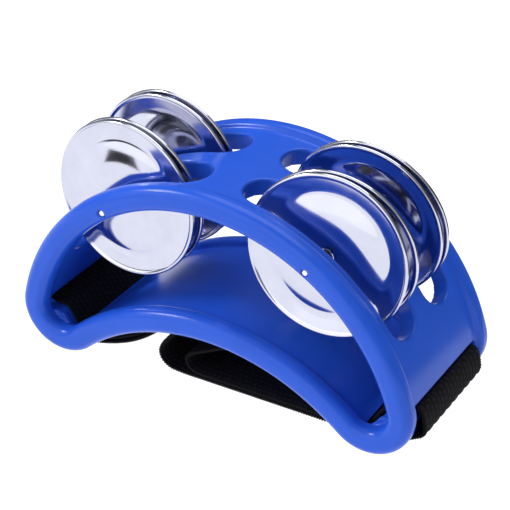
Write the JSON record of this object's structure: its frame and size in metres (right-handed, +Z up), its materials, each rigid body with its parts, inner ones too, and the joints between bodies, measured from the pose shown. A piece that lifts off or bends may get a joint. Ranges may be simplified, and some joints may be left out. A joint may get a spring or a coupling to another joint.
{
  "type": "foot tambourine",
  "caption": "Foot tambourine with a crescent-shaped moulded frame, steel jingles in pairs on pins, and an elastic strap for the foot.",
  "frame": {"origin": "under the middle of the object, on the plane it stands on", "axes": "+X along the length to the right tip, +Y from the front rim to the back rim, +Z up"},
  "size_m": [0.1374, 0.0544, 0.0782],
  "materials": {
    "blue_moulding": "moulded royal-blue plastic, semi-gloss with a fine moulded surface",
    "jingle_steel": "nickel-plated pressed steel, polished",
    "pin_steel": "drawn steel wire, cut and deburred",
    "black_elastic": "black woven elastic webbing with fine ribs"
  },
  "bodies": {
    "frame_assembly": {"frame": "blue_moulding", "elastic_strap": "black_elastic", "jingle_pin_left": "pin_steel", "jingle_pin_right": "pin_steel"},
    "jingle_front_left_a_body": {"jingle_front_left_a": "jingle_steel"},
    "jingle_front_left_b_body": {"jingle_front_left_b": "jingle_steel"},
    "jingle_front_right_a_body": {"jingle_front_right_a": "jingle_steel"},
    "jingle_front_right_b_body": {"jingle_front_right_b": "jingle_steel"},
    "jingle_back_left_a_body": {"jingle_back_left_a": "jingle_steel"},
    "jingle_back_left_b_body": {"jingle_back_left_b": "jingle_steel"},
    "jingle_back_right_a_body": {"jingle_back_right_a": "jingle_steel"},
    "jingle_back_right_b_body": {"jingle_back_right_b": "jingle_steel"}
  },
  "joints": [
    {"name": "spin_front_left_a", "type": "hinge", "parent": "frame_assembly", "child": "jingle_front_left_a_body", "pos_m": [-0.034, -0.0148, 0.0534], "axis": [0.0523, 0.9982, -0.0279], "continuous": true},
    {"name": "spin_front_left_b", "type": "hinge", "parent": "frame_assembly", "child": "jingle_front_left_b_body", "pos_m": [-0.034, -0.0086, 0.0534], "axis": [0.0643, 0.9943, 0.0854], "continuous": true},
    {"name": "spin_front_right_a", "type": "hinge", "parent": "frame_assembly", "child": "jingle_front_right_a_body", "pos_m": [0.034, -0.0148, 0.0534], "axis": [-0.0556, 0.9946, -0.0872], "continuous": true},
    {"name": "spin_front_right_b", "type": "hinge", "parent": "frame_assembly", "child": "jingle_front_right_b_body", "pos_m": [0.034, -0.0072, 0.0534], "axis": [-0.0382, 0.9952, 0.0906], "continuous": true},
    {"name": "spin_back_left_a", "type": "hinge", "parent": "frame_assembly", "child": "jingle_back_left_a_body", "pos_m": [-0.034, 0.0071, 0.0534], "axis": [0.0314, 0.9995, 0.0052], "continuous": true},
    {"name": "spin_back_left_b", "type": "hinge", "parent": "frame_assembly", "child": "jingle_back_left_b_body", "pos_m": [-0.034, 0.0118, 0.0534], "axis": [0.0453, 0.9986, 0.0262], "continuous": true},
    {"name": "spin_back_right_a", "type": "hinge", "parent": "frame_assembly", "child": "jingle_back_right_a_body", "pos_m": [0.034, 0.0088, 0.0534], "axis": [0.0278, 0.9945, 0.1011], "continuous": true},
    {"name": "spin_back_right_b", "type": "hinge", "parent": "frame_assembly", "child": "jingle_back_right_b_body", "pos_m": [0.034, 0.0142, 0.0534], "axis": [0.0397, 0.9874, 0.153], "continuous": true}
  ]
}
